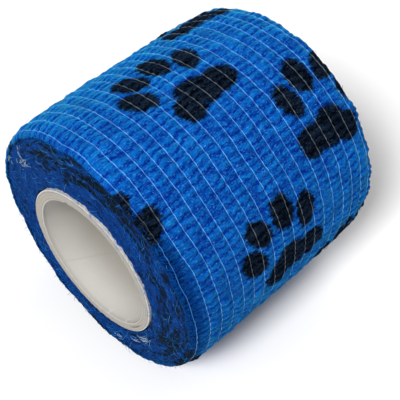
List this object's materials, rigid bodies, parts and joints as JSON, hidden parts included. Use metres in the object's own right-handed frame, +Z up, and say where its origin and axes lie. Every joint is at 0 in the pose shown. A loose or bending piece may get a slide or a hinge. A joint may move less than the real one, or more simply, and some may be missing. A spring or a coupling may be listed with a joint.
{
  "type": "cohesive bandage roll",
  "caption": "Roll of crinkled elastic self-adherent bandage with a paw print, wound on a paperboard core and lying on its side.",
  "frame": {"origin": "bottom centre of the roll as it lies, midway along its width", "axes": "+Y along the roll's axis, away from the end that the picture shows; +Z up; the roll lies on its cloth"},
  "size_m": [0.0548, 0.0514, 0.054],
  "materials": {
    "cloth": "matt crinkled non-woven, printed",
    "paperboard": "smooth pale liner, cut edges"
  },
  "bodies": {
    "root": {"bandage": "cloth", "core": "paperboard"}
  },
  "joints": []
}
